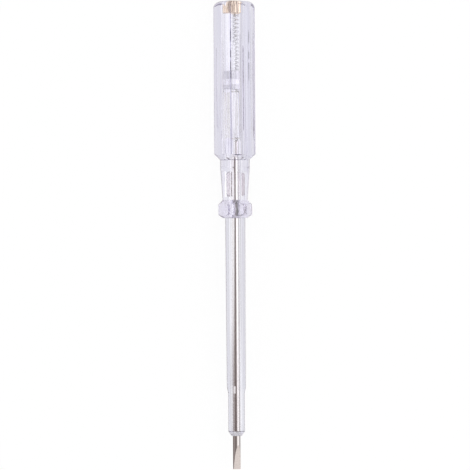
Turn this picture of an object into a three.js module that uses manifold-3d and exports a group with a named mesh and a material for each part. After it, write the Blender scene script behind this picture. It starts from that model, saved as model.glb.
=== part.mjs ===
// Mains voltage tester in the shape of a slotted screwdriver, in millimetres.
// The tool lies along X with its blade towards +X and one flat of the grip down on z = 0.
// Inside, every length is counted from the rear face, and the tool's axis is the X axis.
import * as THREE from "three";
import { mergeVertices } from "three/addons/utils/BufferGeometryUtils.js";
import Module from "manifold-3d";

const wasm = await Module();
wasm.setup();

// Overall and shared
const overallLength = 190;
const roundSegments = 48;
const innerSegments = 32;
const overrun = 2;
const weldTolerance = 1e-4;

// Grip: six flats with rounded corners
const gripAcrossFlats = 15.56;
const gripCornerRadius = 3.2;
const gripCornerSteps = 6;
const gripRearStart = 0.3;
const gripRearRound = 3;
const gripRearRoundSteps = 6;
const gripLength = 61.8;
const shoulderLength = 2.4;

// Hollow ground into each flat
const scallopStart = 13.2;
const scallopLength = 44.6;
const scallopRadius = 6;
const scallopDepth = 0.4;
const scallopRunout = 6.5;

// Neck between the grip and the collar
const neckRadius = 6;
const neckStraight = 2.9;
const neckTaper = 13.4;
const neckFrontRadius = 5.1;

// Six-sided collar that stops the tool rolling
const collarAcrossFlats = 12.3;
const collarCornerRadius = 0.5;
const collarCornerSteps = 2;
const collarConeLength = 2;
const collarLandLength = 3.9;
const collarFrontLength = 1.4;
const collarFaceRadius = 5;

// Bore that holds the circuit
const boreRadius = 3.2;
const boreDepth = 62.3;
const boreConeLength = 1.3;

// Clear sleeve over the shank
const sleeveGap = 0.1;
const sleeveSeatDepth = 0.5;
const sleeveSeatClearance = 0.1;
const sleeveRearRadius = 4.1;
const sleeveTaperLength = 68.7;
const sleeveMidRadius = 3.86;
const sleeveStepLength = 2.8;
const sleeveNoseRadius = 3.37;
const sleeveNoseLength = 15.5;
const sleeveChamferLength = 1.8;
const sleeveLipRadius = 2.1;
const sleeveLipLength = 2.2;
const sleeveLipClearance = 0.15;

// Steel shank, with wings against turning and a flat-ground blade
const shankRadius = 1.55;
const shankRearChamfer = 0.35;
const shankClearance = 0.33;
const wingStart = 69.4;
const wingLength = 9.8;
const wingSpan = 5.3;
const wingThickness = 0.9;
const wingClearance = 0.3;
const bladeTaper = 9.7;
const bladeThickness = 0.5;
const bladeTurn = 13;

// Knurled brass bush in the rear end
const bushRadius = 3.45;
const bushRimLength = 0.8;
const bushLength = 5.1;
const bushClearance = 0.1;
const knurlDepth = 0.2;
const knurlTeeth = 18;

// Slotted brass end screw, the finger contact
const screwRadius = 2.6;
const screwRecess = 0.35;
const screwLength = 5;
const screwSlotWidth = 0.9;
const screwSlotDepth = 1.1;
const screwChamfer = 0.25;
const threadPitch = 0.8;
const threadDepth = 0.25;
const threadClearance = 0.12;
const threadSteps = 16;
const threadCrestShare = 0.2;
const threadRootShare = 0.7;
const threadBite = 0.06;

// Contact spring
const springWireRadius = 0.23;
const springCoilRadius = 1.9;
const springLength = 22.8;
const springTurns = 14;
const springStub = 0.5;
const springSteps = 8;
const springSides = 5;

// Clearance between pieces stacked along the bore
const stackGap = 0.1;

// Series resistor with pressed caps
const resistorCapRadius = 2.75;
const resistorCapWall = 0.3;
const resistorRearCapLength = 3.3;
const resistorFrontCapLength = 1.9;
const resistorLength = 7.7;
const resistorBodyRadius = 2.6;
const resistorFit = 0.1;

// Neon lamp: glass, two electrodes and two leads
const glassRadius = 2.7;
const glassWall = 0.45;
const glassLength = 19.6;
const glassSeal = 2.4;
const glassEndRound = 0.9;
const glassRoundSteps = 4;
const leadRadius = 0.2;
const leadBend = 0.5;
const leadReach = 1.1;
const leadInside = 0.6;
const leadClearance = 0.1;
const leadSteps = 14;
const leadSides = 8;
const electrodeRadius = 0.45;
const electrodeSides = 16;
const electrodeLength = 11;
const electrodeSpacing = 1.6;

// Stations along the tool, from the rear face
const gripApothem = gripAcrossFlats / 2;
const gripEnd = gripRearStart + gripLength;
const shoulderEnd = gripEnd + shoulderLength;
const neckTaperStart = shoulderEnd + neckStraight;
const collarStart = neckTaperStart + neckTaper;
const collarLandStart = collarStart + collarConeLength;
const collarFrontStart = collarLandStart + collarLandLength;
const collarEnd = collarFrontStart + collarFrontLength;
const sleeveSeat = collarEnd - sleeveSeatDepth;
const sleeveStart = sleeveSeat + sleeveGap;
const sleeveStepStart = sleeveStart + sleeveTaperLength;
const sleeveNoseStart = sleeveStepStart + sleeveStepLength;
const sleeveChamferStart = sleeveNoseStart + sleeveNoseLength;
const sleeveEnd = sleeveChamferStart + sleeveChamferLength;
const screwEnd = screwRecess + screwLength;
const springStart = screwEnd + stackGap;
const resistorStart = springStart + springLength + stackGap;
const resistorEnd = resistorStart + resistorLength;
const rearLeadFace = resistorEnd + stackGap;
const glassStart = rearLeadFace + 2 * leadRadius + stackGap;
const glassEnd = glassStart + glassLength;
const frontLeadFace = glassEnd + stackGap + 2 * leadRadius;
const shankRearStart = frontLeadFace + stackGap;

// The distance from the axis to a rounded corner of a six-sided section.
function cornerReach(apothem, cornerRadius) {
  return (apothem - cornerRadius) / Math.cos(Math.PI / 6) + cornerRadius;
}

const gripReach = cornerReach(gripApothem, gripCornerRadius);
const collarReach = cornerReach(collarAcrossFlats / 2, collarCornerRadius);

// A closed geometry as a solid that can be joined and cut.
function solidFrom(geometry) {
  const plain = geometry.index ? geometry.toNonIndexed() : geometry.clone();
  for (const name of Object.keys(plain.attributes)) {
    if (name !== "position") plain.deleteAttribute(name);
  }
  const merged = mergeVertices(plain, weldTolerance);
  return new wasm.Manifold(
    new wasm.Mesh({
      numProp: 3,
      vertProperties: new Float32Array(merged.attributes.position.array),
      triVerts: new Uint32Array(merged.index.array),
    }),
  );
}

// A solid back as a geometry for a mesh.
function geometryFrom(solid) {
  const made = solid.getMesh();
  const geometry = new THREE.BufferGeometry();
  geometry.setAttribute("position", new THREE.BufferAttribute(made.vertProperties, 3));
  geometry.setIndex(new THREE.BufferAttribute(made.triVerts, 1));
  const faceted = geometry.toNonIndexed();
  faceted.computeVertexNormals();
  return faceted;
}

// A profile of [x, radius] pairs turned about the X axis.
// It starts and ends on the axis, or closes on itself.
function turned(profile, segments = roundSegments) {
  const points = profile.map(([x, radius]) => new THREE.Vector2(radius, x));
  return new THREE.LatheGeometry(points, segments).rotateZ(-Math.PI / 2);
}

// A flat outline in the YZ plane, pushed from xStart over a length along X.
function pushed(shape, xStart, length, curveSegments = gripCornerSteps) {
  const geometry = new THREE.ExtrudeGeometry(shape, {
    depth: length,
    bevelEnabled: false,
    curveSegments,
  });
  // The shape's x and y become Y and Z, and its depth becomes X.
  const turn = new THREE.Matrix4().makeBasis(
    new THREE.Vector3(0, 1, 0),
    new THREE.Vector3(0, 0, 1),
    new THREE.Vector3(1, 0, 0),
  );
  return geometry.applyMatrix4(turn).translate(xStart, 0, 0);
}

// A hexagon with rounded corners, flats up and down.
function hexagon(apothem, cornerRadius) {
  const shape = new THREE.Shape();
  const centreReach = (apothem - cornerRadius) / Math.cos(Math.PI / 6);
  for (let corner = 0; corner < 6; corner += 1) {
    const angle = (corner * Math.PI) / 3;
    shape.absarc(
      centreReach * Math.cos(angle),
      centreReach * Math.sin(angle),
      cornerRadius,
      angle - Math.PI / 6,
      angle + Math.PI / 6,
      false,
    );
  }
  shape.closePath();
  return shape;
}

// A box from its centre and size.
function block(centre, size) {
  return new THREE.BoxGeometry(...size).translate(...centre);
}

// Points of a quarter round, from (x0, r0) to (x1, r1), as [x, radius] pairs with both ends.
function quarterRound(x0, r0, x1, r1, steps) {
  const points = [];
  for (let i = 0; i <= steps; i += 1) {
    const a = ((i / steps) * Math.PI) / 2;
    points.push([x0 + (x1 - x0) * (1 - Math.cos(a)), r0 + (r1 - r0) * Math.sin(a)]);
  }
  return points;
}

// The six-sided grip with its rear round, shoulder and hollow flats.
function makeGrip() {
  const prism = solidFrom(
    pushed(hexagon(gripApothem, gripCornerRadius), gripRearStart, shoulderEnd - gripRearStart),
  );
  const envelope = solidFrom(
    turned([
      [gripRearStart, 0],
      ...quarterRound(
        gripRearStart,
        gripReach - gripRearRound,
        gripRearStart + gripRearRound,
        gripReach,
        gripRearRoundSteps,
      ),
      [gripEnd, gripReach],
      [shoulderEnd, neckRadius],
      [shoulderEnd, 0],
    ]),
  );
  let grip = prism.intersect(envelope);
  const scallopEnd = scallopStart + scallopLength;
  const cutterHeight = gripApothem + scallopRadius - scallopDepth;
  const cutter = turned([
    [scallopStart, 0],
    [scallopStart, scallopRadius - scallopDepth],
    [scallopStart + scallopRunout, scallopRadius],
    [scallopEnd - scallopRunout, scallopRadius],
    [scallopEnd, scallopRadius - scallopDepth],
    [scallopEnd, 0],
  ]).translate(0, 0, cutterHeight);
  for (let flat = 0; flat < 6; flat += 1) {
    grip = grip.subtract(solidFrom(cutter.clone().rotateX((flat * Math.PI) / 3)));
  }
  return grip;
}

// The collar, a six-sided ring between two cones.
function makeCollar() {
  const prism = solidFrom(
    pushed(
      hexagon(collarAcrossFlats / 2, collarCornerRadius),
      collarStart,
      collarEnd - collarStart,
      collarCornerSteps,
    ),
  );
  const envelope = solidFrom(
    turned([
      [collarStart, 0],
      [collarStart, neckFrontRadius],
      [collarLandStart, collarReach],
      [collarFrontStart, collarReach],
      [collarEnd, collarFaceRadius],
      [collarEnd, 0],
    ]),
  );
  return prism.intersect(envelope);
}

// Grip, neck and collar as one clear moulding, with its bores.
function makeHandle() {
  const neck = solidFrom(
    turned([
      [gripEnd, 0],
      [gripEnd, neckRadius],
      [neckTaperStart, neckRadius],
      [collarStart, neckFrontRadius],
      [collarLandStart, neckFrontRadius],
      [collarLandStart, 0],
    ]),
  );
  const holeRadius = shankRadius + shankClearance;
  const bore = solidFrom(
    turned([
      [gripRearStart - overrun, 0],
      [gripRearStart - overrun, bushRadius + bushClearance],
      [bushLength + bushClearance, bushRadius + bushClearance],
      [bushLength + bushClearance, boreRadius],
      [boreDepth, boreRadius],
      [boreDepth + boreConeLength, holeRadius],
      [sleeveSeat, holeRadius],
      [sleeveSeat, sleeveRearRadius + sleeveSeatClearance],
      [collarEnd + overrun, sleeveRearRadius + sleeveSeatClearance],
      [collarEnd + overrun, 0],
    ]),
  );
  const wingSlot = solidFrom(
    block(
      [wingStart + wingLength / 2, 0, 0],
      [wingLength + 2 * wingClearance, wingSpan + 2 * wingClearance, wingThickness + 2 * wingClearance],
    ),
  );
  return makeGrip().add(neck).add(makeCollar()).subtract(bore).subtract(wingSlot);
}

// The clear tube over the shank, with its step and its lip.
function makeSleeve() {
  const holeRadius = shankRadius + shankClearance;
  const lipHole = shankRadius + sleeveLipClearance;
  return turned([
    [sleeveStart, holeRadius],
    [sleeveStart, sleeveRearRadius],
    [sleeveStepStart, sleeveMidRadius],
    [sleeveNoseStart, sleeveNoseRadius],
    [sleeveChamferStart, sleeveNoseRadius],
    [sleeveEnd, sleeveLipRadius],
    [sleeveEnd, lipHole],
    [sleeveEnd - sleeveLipLength, lipHole],
    [sleeveEnd - sleeveLipLength, holeRadius],
    [sleeveStart, holeRadius],
  ]);
}

// The round shank with its wings and its ground blade.
function makeShank() {
  const rod = solidFrom(
    turned([
      [shankRearStart, 0],
      [shankRearStart, shankRadius - shankRearChamfer],
      [shankRearStart + shankRearChamfer, shankRadius],
      [overallLength, shankRadius],
      [overallLength, 0],
    ]),
  );
  const wings = solidFrom(
    block([wingStart + wingLength / 2, 0, 0], [wingLength, wingSpan, wingThickness]),
  );
  const bladeStart = overallLength - bladeTaper;
  const slope = (shankRadius - bladeThickness / 2) / bladeTaper;
  const outer = shankRadius + overrun;
  const beyond = overallLength + overrun;
  const cheek = new THREE.Shape();
  cheek.moveTo(bladeStart, shankRadius);
  cheek.lineTo(beyond, shankRadius - slope * (bladeTaper + overrun));
  cheek.lineTo(beyond, outer);
  cheek.lineTo(bladeStart, outer);
  cheek.closePath();
  const depth = 2 * outer;
  const cutAbove = new THREE.ExtrudeGeometry(cheek, { depth, bevelEnabled: false })
    .translate(0, 0, -outer)
    .rotateX(Math.PI / 2);
  const turn = -THREE.MathUtils.degToRad(bladeTurn);
  let shank = rod.add(wings);
  for (const half of [0, Math.PI]) {
    shank = shank.subtract(solidFrom(cutAbove.clone().rotateX(half + turn)));
  }
  return shank;
}

// A helical ridge about X: crest radius, root radius, and its length in turns from xStart.
function threadRidge(xStart, turns, rootRadius, crestRadius, crestWidth, rootWidth) {
  const steps = Math.round(turns * threadSteps);
  const section = [
    [-rootWidth / 2, rootRadius],
    [-crestWidth / 2, crestRadius],
    [crestWidth / 2, crestRadius],
    [rootWidth / 2, rootRadius],
  ];
  const positions = [];
  for (let i = 0; i <= steps; i += 1) {
    const angle = (i / threadSteps) * 2 * Math.PI;
    const x = xStart + (i / threadSteps) * threadPitch;
    for (const [along, radius] of section) {
      positions.push(x + along, radius * Math.cos(angle), radius * Math.sin(angle));
    }
  }
  return tubeGeometry(positions, steps, section.length);
}

// Closes rings of points, one after another, into a tube with flat ends.
function tubeGeometry(positions, steps, sides) {
  const index = [];
  for (let i = 0; i < steps; i += 1) {
    for (let j = 0; j < sides; j += 1) {
      const a = i * sides + j;
      const b = i * sides + ((j + 1) % sides);
      index.push(a, b, a + sides, b, b + sides, a + sides);
    }
  }
  const last = steps * sides;
  for (let j = 1; j < sides - 1; j += 1) {
    index.push(0, j + 1, j);
    index.push(last, last + j, last + j + 1);
  }
  const geometry = new THREE.BufferGeometry();
  geometry.setAttribute("position", new THREE.Float32BufferAttribute(positions, 3));
  geometry.setIndex(index);
  return outward(geometry);
}

// Turns a closed geometry's faces round if they point inwards.
function outward(geometry) {
  const p = geometry.attributes.position;
  const corner = (i) => new THREE.Vector3().fromBufferAttribute(p, geometry.index.getX(i));
  let volume = 0;
  for (let i = 0; i < geometry.index.count; i += 3) {
    volume += corner(i).dot(corner(i + 1).cross(corner(i + 2)));
  }
  if (volume < 0) {
    const flipped = Array.from(geometry.index.array).reverse();
    geometry.setIndex(flipped);
  }
  geometry.computeVertexNormals();
  return geometry;
}

// One helix for the screw's ridge and the bush's groove, longer than both pieces.
function threadSolid(rootRadius, crestRadius, clearance) {
  const turns = Math.ceil(screwEnd / threadPitch) + 2;
  return solidFrom(
    threadRidge(
      -threadPitch,
      turns,
      rootRadius - threadBite,
      crestRadius,
      threadPitch * threadCrestShare + clearance,
      threadPitch * threadRootShare + clearance,
    ),
  );
}

// The brass bush: knurled outside, threaded inside.
function makeBush() {
  const knurl = new THREE.Shape();
  for (let i = 0; i < 2 * knurlTeeth; i += 1) {
    const radius = i % 2 ? bushRadius - knurlDepth : bushRadius;
    const angle = (i * Math.PI) / knurlTeeth;
    const place = i ? "lineTo" : "moveTo";
    knurl[place](radius * Math.cos(angle), radius * Math.sin(angle));
  }
  knurl.closePath();
  const body = solidFrom(pushed(knurl, bushRimLength, bushLength - bushRimLength));
  const rim = solidFrom(
    turned([
      [0, 0],
      [0, bushRadius],
      [bushRimLength, bushRadius],
      [bushRimLength, 0],
    ]),
  );
  const crestRadius = screwRadius - threadDepth + threadClearance;
  const hole = solidFrom(
    turned([
      [-overrun, 0],
      [-overrun, crestRadius],
      [bushLength + overrun, crestRadius],
      [bushLength + overrun, 0],
    ]),
  );
  const mouthRadius = screwRadius + threadClearance;
  const mouth = solidFrom(
    turned([
      [-overrun, 0],
      [-overrun, mouthRadius],
      [0, mouthRadius],
      [mouthRadius - crestRadius, crestRadius],
      [mouthRadius - crestRadius, 0],
    ]),
  );
  const groove = threadSolid(crestRadius, screwRadius + threadClearance, threadClearance);
  return body.add(rim).subtract(hole).subtract(mouth).subtract(groove);
}

// The brass end screw, with a slot for a coin or a second screwdriver.
function makeEndScrew() {
  const coreRadius = screwRadius - threadDepth;
  const envelope = solidFrom(
    turned([
      [screwRecess, 0],
      [screwRecess, screwRadius - screwChamfer],
      [screwRecess + screwChamfer, screwRadius],
      [screwEnd - screwChamfer, screwRadius],
      [screwEnd, screwRadius - screwChamfer],
      [screwEnd, 0],
    ]),
  );
  const core = solidFrom(
    turned([
      [-overrun, 0],
      [-overrun, coreRadius],
      [screwEnd + overrun, coreRadius],
      [screwEnd + overrun, 0],
    ]),
  );
  const threaded = core.add(threadSolid(coreRadius, screwRadius, 0)).intersect(envelope);
  const slot = solidFrom(
    block(
      [screwRecess + (screwSlotDepth - overrun) / 2, 0, 0],
      [screwSlotDepth + overrun, 2 * (screwRadius + overrun), screwSlotWidth],
    ),
  );
  return threaded.subtract(slot);
}

// The spring: one tube that runs straight at both ends and coils between them.
function makeSpring() {
  const path = [new THREE.Vector3(springStart, springCoilRadius, 0)];
  const coilLength = springLength - 2 * springStub;
  const count = springTurns * springSteps;
  for (let i = 0; i <= count; i += 1) {
    const angle = (i / springSteps) * 2 * Math.PI;
    path.push(
      new THREE.Vector3(
        springStart + springStub + (i / count) * coilLength,
        springCoilRadius * Math.cos(angle),
        springCoilRadius * Math.sin(angle),
      ),
    );
  }
  const end = path[path.length - 1].clone();
  path.push(new THREE.Vector3(springStart + springLength, end.y, end.z));
  const positions = [];
  path.forEach((centre, i) => {
    const last = path.length - 1;
    const along = new THREE.Vector3(1, 0, 0);
    if (i > 1 && i < last - 1) along.subVectors(path[i + 1], path[i - 1]).normalize();
    if (i === 1) along.subVectors(path[2], path[1]).normalize().add(new THREE.Vector3(1, 0, 0)).normalize();
    if (i === last - 1) {
      along.subVectors(path[i], path[i - 1]).normalize().add(new THREE.Vector3(1, 0, 0)).normalize();
    }
    const out = new THREE.Vector3(0, centre.y, centre.z).normalize();
    const side = new THREE.Vector3().crossVectors(along, out).normalize();
    const up = new THREE.Vector3().crossVectors(side, along).normalize();
    for (let j = 0; j < springSides; j += 1) {
      const a = (j / springSides) * 2 * Math.PI;
      const point = centre
        .clone()
        .addScaledVector(up, springWireRadius * Math.cos(a))
        .addScaledVector(side, springWireRadius * Math.sin(a));
      positions.push(point.x, point.y, point.z);
    }
  });
  console.log("spring: least gap between turns", springGap(path).toFixed(2), "mm");
  return tubeGeometry(positions, path.length - 1, springSides);
}

// The least space between the surfaces of two turns, measured on the centre line's points.
function springGap(path) {
  let least = Infinity;
  const apart = Math.round(springSteps / 2);
  path.forEach((a, i) => {
    path.slice(i + apart).forEach((b) => {
      least = Math.min(least, a.distanceTo(b));
    });
  });
  return least - 2 * springWireRadius;
}

// A pressed metal cap, open towards the resistor: +1 opens forwards, -1 rearwards.
function makeResistorCap(face, length, opens) {
  const inner = resistorCapRadius - resistorCapWall;
  const floor = face + opens * resistorCapWall;
  const mouth = face + opens * length;
  const profile = [
    [face, 0],
    [face, resistorCapRadius],
    [mouth, resistorCapRadius],
    [mouth, inner],
    [floor, inner],
    [floor, 0],
  ];
  return turned(opens > 0 ? profile : profile.reverse(), innerSegments);
}

// The resistor's ceramic rod, with its lacquered middle between the caps.
function makeResistorBody() {
  const inner = resistorCapRadius - resistorCapWall - resistorFit;
  const start = resistorStart + resistorCapWall + resistorFit;
  const end = resistorEnd - resistorCapWall - resistorFit;
  const midStart = resistorStart + resistorRearCapLength + resistorFit;
  const midEnd = resistorEnd - resistorFrontCapLength - resistorFit;
  const profile = [
    [start, 0],
    [start, inner],
    [midStart, inner],
    [midStart, resistorBodyRadius],
    [midEnd, resistorBodyRadius],
    [midEnd, inner],
    [end, inner],
    [end, 0],
  ];
  return turned(profile, innerSegments);
}

// A solid with round shoulders at both ends, turned about the X axis.
function roundEnded(start, end, radius, round) {
  const rear = quarterRound(start, radius - round, start + round, radius, glassRoundSteps);
  const front = quarterRound(end, radius - round, end - round, radius, glassRoundSteps);
  return solidFrom(turned([[start, 0], ...rear, ...front.reverse(), [end, 0]], innerSegments));
}

// The lamp's glass: a tube with a thick seal at each end, open only where its leads pass.
function makeGlass() {
  const outside = roundEnded(glassStart, glassEnd, glassRadius, glassEndRound);
  const room = roundEnded(
    glassStart + glassSeal,
    glassEnd - glassSeal,
    glassRadius - glassWall,
    glassEndRound - glassWall,
  );
  const leadHole = new THREE.CylinderGeometry(
    leadRadius + leadClearance,
    leadRadius + leadClearance,
    glassSeal + 2 * overrun,
    leadSides,
  ).rotateZ(Math.PI / 2);
  const rearHole = leadHole.clone().translate(glassStart + glassSeal / 2, electrodeSpacing / 2, 0);
  const frontHole = leadHole.clone().translate(glassEnd - glassSeal / 2, -electrodeSpacing / 2, 0);
  return outside.subtract(room).subtract(solidFrom(rearHole)).subtract(solidFrom(frontHole));
}

// A lead: out of its electrode, through the seal, and bent flat across the end of the glass.
function makeLead(insideX, outsideX, y) {
  const away = Math.sign(outsideX - insideX);
  const path = new THREE.CurvePath();
  const corner = new THREE.Vector3(outsideX - away * leadRadius, y, 0);
  const before = corner.clone().setX(corner.x - away * leadBend);
  const after = corner.clone().setY(y - Math.sign(y) * leadBend);
  const tip = corner.clone().setY(-Math.sign(y) * leadReach);
  path.add(new THREE.LineCurve3(new THREE.Vector3(insideX, y, 0), before));
  path.add(new THREE.QuadraticBezierCurve3(before, corner, after));
  path.add(new THREE.LineCurve3(after, tip));
  const section = new THREE.Shape();
  for (let i = 0; i < leadSides; i += 1) {
    const a = (i / leadSides) * 2 * Math.PI;
    section[i ? "lineTo" : "moveTo"](leadRadius * Math.cos(a), leadRadius * Math.sin(a));
  }
  section.closePath();
  return new THREE.ExtrudeGeometry(section, { steps: leadSteps, extrudePath: path });
}

// An electrode, a plain nickel rod beside the lamp's axis.
function makeElectrode(start, y) {
  return turned(
    [
      [start, 0],
      [start, electrodeRadius],
      [start + electrodeLength, electrodeRadius],
      [start + electrodeLength, 0],
    ],
    electrodeSides,
  ).translate(0, y, 0);
}

// Finishes
const clearPlastic = { color: 0xdedceb, roughness: 0.08, metalness: 0, transparent: true, opacity: 0.35 };
const clearGlass = { color: 0xf4f6f8, roughness: 0.03, metalness: 0, transparent: true, opacity: 0.3 };
const brass = { color: 0xcfb070, roughness: 0.3, metalness: 1 };
const chromedSteel = { color: 0xd6d2d0, roughness: 0.15, metalness: 1 };
const springSteel = { color: 0xc8c8cc, roughness: 0.25, metalness: 1 };
const tinnedCap = { color: 0xb4b2b4, roughness: 0.35, metalness: 1 };
const nickel = { color: 0xbdb9b4, roughness: 0.3, metalness: 1 };
const lacquer = { color: 0xe6e1e6, roughness: 0.45, metalness: 0 };

const tool = new THREE.Group();
tool.position.set(-overallLength / 2, 0, gripApothem);

// Adds one named piece to the tool.
function piece(name, shape, finish) {
  const geometry = shape.isBufferGeometry ? shape : geometryFrom(shape);
  const mesh = new THREE.Mesh(geometry, new THREE.MeshStandardMaterial(finish));
  mesh.name = name;
  tool.add(mesh);
  return mesh;
}

const roomStart = glassStart + glassSeal;
const roomEnd = glassEnd - glassSeal;
const electrodeSide = electrodeSpacing / 2;

piece("handle_body", makeHandle(), clearPlastic);
piece("shank_sleeve", makeSleeve(), clearPlastic);
piece("blade_shank", makeShank(), chromedSteel);
piece("end_bush", makeBush(), brass);
piece("end_screw", makeEndScrew(), brass);
piece("contact_spring", makeSpring(), springSteel);
piece("resistor_rear_cap", makeResistorCap(resistorStart, resistorRearCapLength, 1), tinnedCap);
piece("resistor_body", makeResistorBody(), lacquer);
piece("resistor_front_cap", makeResistorCap(resistorEnd, resistorFrontCapLength, -1), tinnedCap);
piece("lamp_glass", makeGlass(), clearGlass);
piece("lamp_rear_lead", makeLead(roomStart + leadInside, rearLeadFace, electrodeSide), nickel);
piece("lamp_front_lead", makeLead(roomEnd - leadInside, frontLeadFace, -electrodeSide), nickel);
piece("lamp_rear_electrode", makeElectrode(roomStart + leadInside + stackGap, electrodeSide), nickel);
piece(
  "lamp_front_electrode",
  makeElectrode(roomEnd - leadInside - stackGap - electrodeLength, -electrodeSide),
  nickel,
);

export default tool;
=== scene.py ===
# Mains voltage tester screwdriver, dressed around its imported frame.
# Lengths are in millimetres, until place, rowX or mm turns them into metres.
import math

import bmesh
import bpy
import numpy as np
from mathutils import Matrix, Vector


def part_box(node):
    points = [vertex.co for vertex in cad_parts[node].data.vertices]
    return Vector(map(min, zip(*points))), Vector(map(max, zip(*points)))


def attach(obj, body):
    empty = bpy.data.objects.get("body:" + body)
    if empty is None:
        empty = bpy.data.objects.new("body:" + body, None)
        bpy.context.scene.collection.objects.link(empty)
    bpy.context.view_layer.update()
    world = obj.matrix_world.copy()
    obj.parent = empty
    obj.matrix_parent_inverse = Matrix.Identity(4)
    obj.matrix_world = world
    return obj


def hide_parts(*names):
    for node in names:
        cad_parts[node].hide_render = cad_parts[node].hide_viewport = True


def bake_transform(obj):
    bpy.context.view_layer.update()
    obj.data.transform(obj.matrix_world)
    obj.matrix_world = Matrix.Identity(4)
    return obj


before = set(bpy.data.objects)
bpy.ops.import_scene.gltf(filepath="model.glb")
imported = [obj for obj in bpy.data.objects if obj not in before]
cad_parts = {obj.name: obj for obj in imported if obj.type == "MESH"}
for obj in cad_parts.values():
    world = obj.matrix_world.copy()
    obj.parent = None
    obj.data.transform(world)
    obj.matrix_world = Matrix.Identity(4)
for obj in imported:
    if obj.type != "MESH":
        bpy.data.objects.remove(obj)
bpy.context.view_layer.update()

mm = 0.001
degree = math.radians(1)
tau = 2 * math.pi
tiny = 1e-9

# the tool's axis, and where its rear face lies, both read from the frame
handleLow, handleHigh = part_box("handle_body")
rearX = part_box("end_bush")[0][0]
axisZ = (handleLow[2] + handleHigh[2]) / 2
axisY = (handleLow[1] + handleHigh[1]) / 2


def span(node):
    # first and last station of a node along the tool, from the rear face
    low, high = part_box(node)
    return (low[0] - rearX) / mm, (high[0] - rearX) / mm


# Mesh helpers

def place(points):
    # stations along the tool, and offsets from its axis, become metres in the row frame
    out = np.asarray(points, float) * mm
    return out + np.array([rearX, axisY, axisZ])


def rowX(station):
    return station * mm + rearX


def offAxis(face):
    # how far from the axis the middle of a finished face lies
    return math.hypot(face.center.y - axisY, face.center.z - axisZ) / mm


def meshFrom(name, points, faces, sharpDegrees=30, placed=False):
    mesh = bpy.data.meshes.new(name)
    where = points if placed else place(points)
    mesh.from_pydata([tuple(p) for p in where], [], faces)
    mesh.validate()
    mesh.polygons.foreach_set("use_smooth", [True] * len(mesh.polygons))
    mesh.set_sharp_from_angle(angle=sharpDegrees * degree)
    mesh.update()
    piece = bpy.data.objects.new(name, mesh)
    bpy.context.scene.collection.objects.link(piece)
    return piece


def grid(name, rows, sharpDegrees=30, around=False):
    # rows of points, each a closed ring; around joins the last row to the first, else both ends are closed
    rows = np.asarray(rows, float)
    count, sides, _ = rows.shape
    faces = []
    for i in range(count if around else count - 1):
        a = i * sides
        b = ((i + 1) % count) * sides
        for j in range(sides):
            k = (j + 1) % sides
            faces.append((a + j, a + k, b + k, b + j))
    points = rows.reshape(-1, 3)
    if not around:
        first = len(points)
        points = np.vstack([points, rows[0].mean(axis=0), rows[-1].mean(axis=0)])
        last = (count - 1) * sides
        for j in range(sides):
            k = (j + 1) % sides
            faces.append((first, k, j))
            faces.append((first + 1, last + j, last + k))
    return meshFrom(name, points, faces, sharpDegrees)


def mergePoints(piece):
    # where two rows coincide the faces between them have no area
    mesh = bmesh.new()
    mesh.from_mesh(piece.data)
    bmesh.ops.remove_doubles(mesh, verts=mesh.verts, dist=1e-7)
    mesh.to_mesh(piece.data)
    mesh.free()


def ring(x, radius, angles):
    # one row of a turned or nearly turned piece; x and radius may be one value or one for each angle
    angles = np.asarray(angles, float)
    x = np.broadcast_to(x, angles.shape)
    return np.stack([x, radius * np.cos(angles), radius * np.sin(angles)], axis=1)


def evenAngles(count):
    return np.arange(count) * tau / count


def turned(name, profile, sharpDegrees=30, count=96, around=False, offsetY=0.0):
    angles = evenAngles(count)
    leastRadius = 0.001
    rows = np.array([ring(x, max(radius, leastRadius), angles) for x, radius in profile])
    rows[:, :, 1] += offsetY
    return grid(name, rows, sharpDegrees, around)


def corner(x0, r0, x1, r1, steps):
    # a quarter round between two [x, radius] points, leaving the first along the radius
    points = []
    for i in range(steps + 1):
        a = i / steps * math.pi / 2
        points.append((x0 + (x1 - x0) * (1 - math.cos(a)), r0 + (r1 - r0) * math.sin(a)))
    return points


def roundedRod(start, end, radius, bend, steps):
    profile = [(start, 0)] + corner(start, radius - bend, start + bend, radius, steps)
    return profile + corner(end, radius - bend, end - bend, radius, steps)[::-1] + [(end, 0)]


def boxRadius(angles, halfWidth, halfHeight):
    # how far the outline of a rectangle lies from its middle at each angle
    return np.minimum(halfHeight / (np.abs(np.sin(angles)) + tiny), halfWidth / (np.abs(np.cos(angles)) + tiny))


def sweep(name, path, radius, sides):
    # a round wire along a list of points
    path = np.asarray(path, float)
    along = np.gradient(path, axis=0)
    along /= np.linalg.norm(along, axis=1)[:, None]
    anyOther = (0.3, 0.2, 1.0)
    side = np.cross(along[0], anyOther)
    turn = evenAngles(sides)
    rows = []
    for centre, direction in zip(path, along):
        side = side - direction * np.dot(side, direction)
        side /= np.linalg.norm(side)
        up = np.cross(direction, side)
        rows.append(centre + radius * (np.cos(turn)[:, None] * side + np.sin(turn)[:, None] * up))
    return grid(name, rows, sharpDegrees=40)


def dress(piece, node, body, material):
    piece.data.materials.append(material)
    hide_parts(node)
    if body:
        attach(piece, body)
    return piece


# Shader helpers

def setSockets(tree, node, values):
    # a value is a number, a colour or the output of another node
    for name, value in values.items():
        if isinstance(value, bpy.types.NodeSocket):
            tree.links.new(value, node.inputs[name])
        else:
            node.inputs[name].default_value = (*value, 1) if isinstance(value, tuple) else value


def addNode(tree, kind, values):
    node = tree.nodes.new(kind)
    setSockets(tree, node, values)
    return node


def addCoordinates(tree, kind="Object"):
    where = tree.nodes.new("ShaderNodeTexCoord")
    return addNode(tree, "ShaderNodeSeparateXYZ", {"Vector": where.outputs[kind]}).outputs


def addGroup(tree, group, values):
    node = tree.nodes.new("ShaderNodeGroup")
    node.node_tree = group
    setSockets(tree, node, values)
    return node.outputs


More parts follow.
